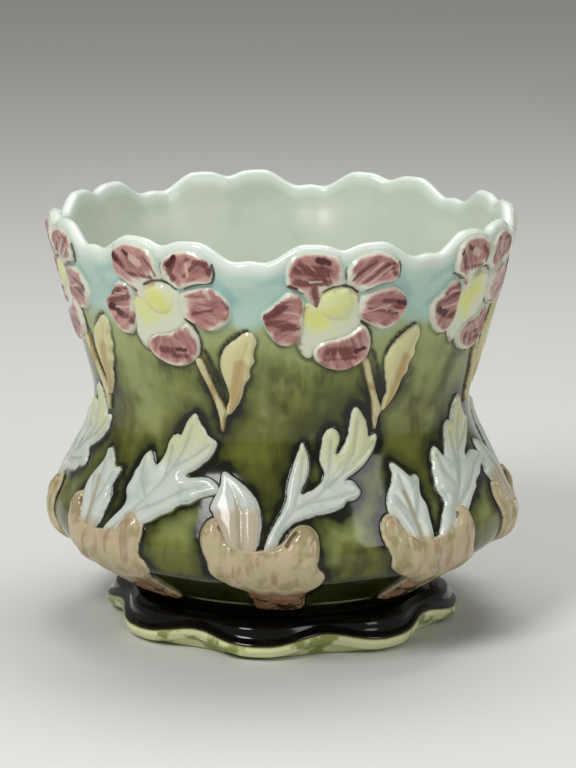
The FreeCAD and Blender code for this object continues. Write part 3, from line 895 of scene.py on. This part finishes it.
def paint_wall(glaze):
    """The pot's ground colours: aqua under the rim, olive below, near-black glaze pooled in the
    hollows; painted light on the belly, painted shade under it and round the relief.
    """
    brush = glaze.brush
    depth = glaze.marks["rim_depth"]
    broad = glaze.clouds(16)
    fine = glaze.clouds(3.2, at=0.7)
    runs = glaze.clouds(5, stretch=4, at=0.2)
    patches = glaze.clouds(26, at=0.5)
    # the depth below the rim, wandering as the glaze ran
    level = glaze.uneven(depth, (runs, 16), (fine, 5))
    brush("#BCD4C6", (depth, 1.0, 8))
    brush("#B2CFC2", (level, 8, 20))
    brush("#82B2AE", (level, 8, 16), (level, 34, 26), (broad, 0.52, 0.7), most=0.5)
    teal = glaze.uneven(glaze.marks["teal"], (glaze.clouds(6, at=0.15), 1.2))
    brush("#6FA9AC", (teal, 0.2, 1.2), most=0.5)
    brush("#A0AB74", (level, 28, 37))
    brush("#848C4A", (level, 35, 52))
    brush("#666A2A", (level, 46, 72))
    brush("#3A3B12", (level, 40, 56), (runs, 0.47, 0.66), most=0.7)
    brush("#979E62", (level, 38, 52), (broad, 0.52, 0.68), most=0.65)
    brush("#33360F", (level, 44, 60), (patches, 0.49, 0.62), most=0.75)
    brush("#A1A86E", (level, 36, 46), (level, 82, 62), (patches, 0.5, 0.4), most=0.6)
    # painted light on the belly, where light falls on it from above; near-black painted shade and
    # painted dark reflection from under the belly down over the ledge and foot; a pale line along the
    # ledge
    brush("#9AA265", (depth, 98, 106), (depth, 124, 118), (glaze.clouds(20, at=0.9), 0.48, 0.6),
          most=0.6)
    # near-black painted shade and painted dark reflection under the belly
    brush("#1A1C08", (glaze.uneven(depth, (fine, 3)), 124.5, 128.5), most=0.94)
    brush("#9AA078", (depth, 141.9, 142.5), (depth, 143.8, 143.2), most=0.75)
    # painted shade: a broad soft darkening round the relief on the waist; and the dark glaze ran off
    # the relief and lies thick beside it, more in some places than in others
    pool_and_shade_clouds = glaze.clouds(9, at=0.35)
    relief = glaze.uneven(glaze.marks["from_relief"], (fine, 2.2), (pool_and_shade_clouds, 11))
    near = glaze.uneven(glaze.marks["from_relief"], (fine, 1.6))
    # painted shade round the relief, broad and soft
    brush("#333810", (relief, 8.5, 2), (level, 44, 62), most=0.75)
    brush("#454820", (near, 2.2, 0.4), (level, 30, 42), most=0.8)
    brush("#12130A", (relief, 3.4, 1.2), (level, 44, 60), most=0.97)
    brush("#1C1D0C", (near, 1.0, 0.1), (level, 48, 62), most=0.85)
    brush("#8AB4AE", (near, 2.2, 0.4), (level, 30, 20), (depth, 7, 13), most=0.35)
    shadow = glaze.uneven(glaze.marks["shadow"], (fine, 0.45))
    brush("#15160A", (shadow, 0.3, 0.95), most=0.95)
    paint_creases(glaze, fine)
    # inside and over the rim the glaze is thin and pale
    brush("#D9E4D8", (depth, 2.2, 0.4))
    brush("#CAD2C3", (depth, -1.5, -7))
    brush("#B5C2B2", (depth, -2, -9), (broad, 0.5, 0.7), most=0.5)


def majolica_ground():
    """Majolica lead glaze, brushed on and melted: clear, glassy, thin on edges and dark in hollows."""
    glaze = Glaze("majolica_lead_glaze_green", BARE_GLAZE, WALL_MARKS)
    paint_wall(glaze)
    return glaze.fired()


def majolica_relief(name, paint, marks):
    """The same wall colours, with an ornament's own colours where it stands proud."""
    glaze = Glaze(name, BARE_GLAZE, WALL_MARKS + ("inside",) + marks)
    paint_wall(glaze)
    wall = glaze.colour
    paint(glaze, glaze.marks["inside"])
    own = glaze.colour
    glaze.colour = wall
    edge = glaze.uneven(glaze.marks["inside"], (glaze.clouds(1.6, at=0.5), 0.9))
    glaze.brush(own, (edge, -0.35, 0.3))
    paint_creases(glaze, glaze.clouds(2.2, at=0.8))
    return glaze.fired(ripple_mm=3)


def petal_colours(glaze, inside):
    """Pink to maroon underglaze, brushed outwards, that stops short of the white rolled edge."""
    marks = glaze.marks
    fine = glaze.clouds(1.5, at=0.9)
    # bristle marks about 1 mm wide that fan out from the button, new ones on each flower
    across = glaze.add_node("SeparateXYZ", {0: glaze.place})
    fan = glaze.add_node("CombineXYZ", {0: marks["angle"], 1: marks["reach"], 2: across})
    combed = glaze.add_node("Mapping", {"Vector": fan, "Scale": (11, 0.16, 40)})
    bristles = glaze.add_node("TexNoise", {"Vector": combed, "Scale": 1.0, "Detail": 3.0})
    wash = glaze.uneven(marks["wash"], (fine, 0.4), (bristles, 0.8))
    stroke = glaze.uneven(marks["stroke"], (fine, 0.4), (bristles, 1.0))
    streak = glaze.uneven(marks["streak"], (fine, 0.5))
    dab = glaze.uneven(marks["dab"], (fine, 1.1), (bristles, 0.9))
    glaze.colour = "#DADAC8"
    glaze.brush("#C69E94", (wash, 0.0, 0.45), most=0.97)
    glaze.brush("#A87470", (wash, 0.4, 1.0), most=0.9)
    glaze.brush("#8A5453", (wash, 0.4, 1.0), (bristles, 0.48, 0.66), most=0.7)
    glaze.brush("#6B3335", (stroke, 0.25, 1.1), most=0.9)
    glaze.brush("#C9A69C", (wash, 0.3, 0.9), (bristles, 0.42, 0.3), most=0.6)
    glaze.brush("#431719", (dab, 0.3, 0.9), most=0.95)
    glaze.brush("#D3B9A8", (streak, 0.35, 0.95), most=0.8)
    rolled = glaze.uneven(inside, (fine, 0.8), (glaze.clouds(6, at=0.3), 2.6))
    glaze.brush("#DFE1D0", (rolled, 0.8, 0.15), most=0.9)


def centre_colours(glaze, inside):
    """Yellow glaze on the button, fading to cream over the throat of the flower."""
    dab = glaze.uneven(glaze.marks["dab"], (glaze.clouds(4.5, at=0.4), 1.5))
    glaze.colour = "#D9DEC6"
    glaze.brush("#DDE1A8", (dab, 0.1, 0.7))
    glaze.brush("#DDE080", (dab, 0.4, 1.0), (glaze.clouds(5), 0.38, 0.6), most=0.85)
    frayed = glaze.uneven(inside, (glaze.clouds(1.8, at=0.7), 3))
    glaze.brush("#B0847C", (frayed, 1.9, 0.6), (glaze.clouds(6, at=0.9), 0.46, 0.56), most=0.7)


def stem_colours(glaze, inside):
    """Cream slip streaked with tan, and dark brown along its edges as painted shade."""
    glaze.colour = "#CDC79C"
    glaze.brush("#A58A58", (glaze.clouds(2.2, stretch=5), 0.5, 0.64), most=0.75)
    # painted shade along the stem's edges
    glaze.brush("#6E5030", (glaze.uneven(inside, (glaze.clouds(3), 0.5)), 0.4, 0.05), most=0.7)


def bud_colours(glaze, inside):
    """Cream leaf with a tan wash along its middle."""
    brown = glaze.uneven(glaze.marks["brown"], (glaze.clouds(3, stretch=3), 1.2))
    glaze.colour = "#D3CE9C"
    glaze.brush("#B79C6A", (brown, 0.1, 1.0), most=0.9)
    glaze.brush("#A59A58", (glaze.marks["fold"], 0.9, 0.1), most=0.3)
    glaze.brush("#DEDCB0", (inside, 0.9, 0.3), most=0.7)


def leaf_colours(glaze, inside):
    """Bluish white slip, yellow at the tips and tan towards the tuft, darker in its folds."""
    marks = glaze.marks
    clouds = glaze.clouds(5, at=0.6)
    reach = glaze.uneven(marks["reach"], (glaze.clouds(9), 22))
    fold = glaze.uneven(marks["fold"], (glaze.clouds(2.4), 1.2))
    glaze.colour = "#CCD2C8"
    glaze.brush("#B2C3BA", (clouds, 0.5, 0.64), most=0.7)
    glaze.brush("#CED0A2", (reach, 70, 88), most=0.9)
    glaze.brush("#B9AB92", (glaze.uneven(marks["tan"], (clouds, 0.9)), 0.2, 0.8), most=0.9)
    glaze.brush("#A68E6A", (glaze.uneven(marks["brown"], (clouds, 0.8)), 0.3, 1.0), most=0.7)
    glaze.brush("#96A294", (fold, 1.1, 0.1), most=0.45)
    glaze.brush("#DDE4DA", (glaze.uneven(inside, (clouds, 1.0)), 0.8, 0.2), most=0.75)


def tuft_colours(glaze, inside):
    """Pinkish tan, browner in its flutes, brown where the stalk meets the ledge, with near-black
    painted shade under the belly and painted shade in the ear hollows.
    """
    reach = glaze.uneven(glaze.marks["reach"], (glaze.clouds(3), 4))
    glaze.colour = "#C0AF8E"
    glaze.brush("#9C7E66", (glaze.clouds(2.6, stretch=5), 0.49, 0.64), most=0.7)
    glaze.brush("#B3AE86", (glaze.clouds(8), 0.5, 0.62), most=0.75)
    glaze.brush("#938A5C", (glaze.clouds(6, at=0.6), 0.52, 0.62), most=0.65)
    glaze.brush("#86603F", (reach, 35, 32.6), most=0.85)
    glaze.brush("#B08C72", (reach, 34, 31), (glaze.clouds(4, at=0.2), 0.5, 0.6), most=0.7)
    # near-black painted shade where the stalk runs under the belly
    glaze.brush("#22150A", (reach, 35, 32), (glaze.clouds(5, at=0.8), 0.5, 0.6), most=0.9)
    # painted shade in the ear hollows
    glaze.brush("#4A331C", (glaze.marks["fold"], 1.2, 0.3), most=0.85)
    glaze.brush("#D6CBA8", (inside, 0.9, 0.3), most=0.6)


def stand_glaze():
    """Near-black everywhere but the lip, as painted shade and painted dark reflection; cream and olive
    dripped along the lip.
    """
    # the near-black ground is painted shade and painted dark reflection
    glaze = Glaze("majolica_glaze_painted_shade_stand", "#0A0806", ("lip",))
    wandering = glaze.uneven(glaze.marks["lip"], (glaze.clouds(2.4, at=0.5), 0.3))
    glaze.brush("#43290F", (wandering, 0.1, 0.3), most=0.9)
    glaze.brush("#8A8F45", (wandering, 0.26, 0.46))
    glaze.brush("#DEE2AE", (wandering, 0.42, 0.72))
    glaze.brush("#7F8A3A", (wandering, 0.4, 0.7), (glaze.clouds(9, at=0.2), 0.52, 0.6), most=0.85)
    return glaze.fired()


def assign(piece, material):
    piece.data.materials.clear()
    piece.data.materials.append(material)


# ---- build

pot = make_pot()
assign(pot, majolica_ground())
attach(pot, "pot")
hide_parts("pot")

stand = make_stand()
assign(stand, stand_glaze())
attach(stand, "stand")
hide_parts("stand")

PETAL_MARKS = ("wash", "stroke", "streak", "dab", "reach", "angle")
LEAF_MARKS = ("fold", "reach", "brown", "tan")
FINISH = {
    "flower_petals": ("majolica_glaze_maroon", petal_colours, PETAL_MARKS, "petal_glaze"),
    "flower_centre": ("majolica_glaze_yellow", centre_colours, ("dab",), "yellow_glaze"),
    "flower_stem": ("majolica_glaze_tan", stem_colours, (), "tan_glaze"),
    "bud_leaf": ("majolica_glaze_cream", bud_colours, ("fold", "brown"), "cream_glaze"),
    "broad_leaf": ("majolica_glaze_white_broad_leaf", leaf_colours, LEAF_MARKS, "white_leaf_glaze"),
    "lobed_leaf": ("majolica_glaze_white_lobed_leaf", leaf_colours, LEAF_MARKS, "white_leaf_glaze"),
    "base_tuft": ("majolica_glaze_pink_tan", tuft_colours, ("fold", "reach"), "pink_tan_glaze"),
}
TOOTHED = {"broad_leaf": "toothed_broad_leaf", "lobed_leaf": "toothed_leaf"}
for ornament, (finish, colours, marks, slot) in FINISH.items():
    material = majolica_relief(finish, colours, marks)
    pressed = pressed_sheet(ornament)
    if ornament in TOOTHED:
        pressed += pressed_sheet(TOOTHED[ornament])
    # where an ornament has two looks, they take turns round the pot
    for first, piece in enumerate(pressed):
        assign(piece, material)
        for k in range(first, MOTIFS, len(pressed)):
            copy = duplicate(piece)
            copy.name = f"{ornament}_relief_{k + 1}"
            copy.data.transform(Matrix.Rotation(math.radians(k * PITCH), 4, "Z"))
            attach(copy, "pot")
            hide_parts(f"{ornament}_{k + 1}")
        bpy.data.objects.remove(piece)

# ---- floor, lamps, camera

bpy.ops.mesh.primitive_plane_add(size=1)
floor = bpy.context.object
floor.name = "studio_floor"
set_coordinates(floor, coordinates(floor) * (12, 12, 1))
# matt paper: pale and even, and too rough to mirror the pot
paper = bpy.data.materials.new("matt_paper_floor")
paper.use_nodes = True
sheet = paper.node_tree.nodes["Principled BSDF"].inputs
sheet["Base Color"].default_value = glaze_colour("#D8D8D4")
sheet["Roughness"].default_value = 0.85
assign(floor, paper)


def add_lamp(name, place, target, width, height, power):
    """A soft box that faces a target."""
    light = bpy.data.lights.new(name, "AREA")
    light.shape = "RECTANGLE"
    light.size = width
    light.size_y = height
    light.energy = power
    lamp = bpy.data.objects.new(name, light)
    lamp.location = place
    lamp.rotation_euler = (Vector(target) - Vector(place)).to_track_quat("-Z", "Y").to_euler()
    bpy.context.collection.objects.link(lamp)


MIDDLE = (0, 0, 0.08)
add_lamp("key_softbox", (-0.75, -1.0, 1.25), MIDDLE, 0.5, 0.7, 16)
add_lamp("fill_softbox", (1.1, -0.9, 0.7), MIDDLE, 0.5, 0.6, 3.5)
add_lamp("top_softbox", (0.1, 0.35, 1.3), MIDDLE, 0.9, 0.6, 9)

world = bpy.data.worlds.new("pale_studio")
bpy.context.scene.world = world
world.use_nodes = True
room = world.node_tree.nodes["Background"].inputs
room["Color"].default_value = glaze_colour("#E9E9E6")
room["Strength"].default_value = 0.32

AIM = Vector((2.45, 0, 92.4)) * MM
EYE = Vector((2.45, -1225.9, 370.2)) * MM
ROLL = math.radians(0.14)
camera = bpy.data.objects.new("camera", bpy.data.cameras.new("camera"))
camera.data.lens = 150
camera.data.sensor_width = 36
camera.location = EYE
camera.rotation_euler = (AIM - EYE).to_track_quat("-Z", "Y").to_euler()
camera.rotation_euler.rotate_axis("Z", ROLL)
bpy.context.collection.objects.link(camera)
bpy.context.scene.camera = camera
bpy.context.scene.view_settings.view_transform = "Standard"
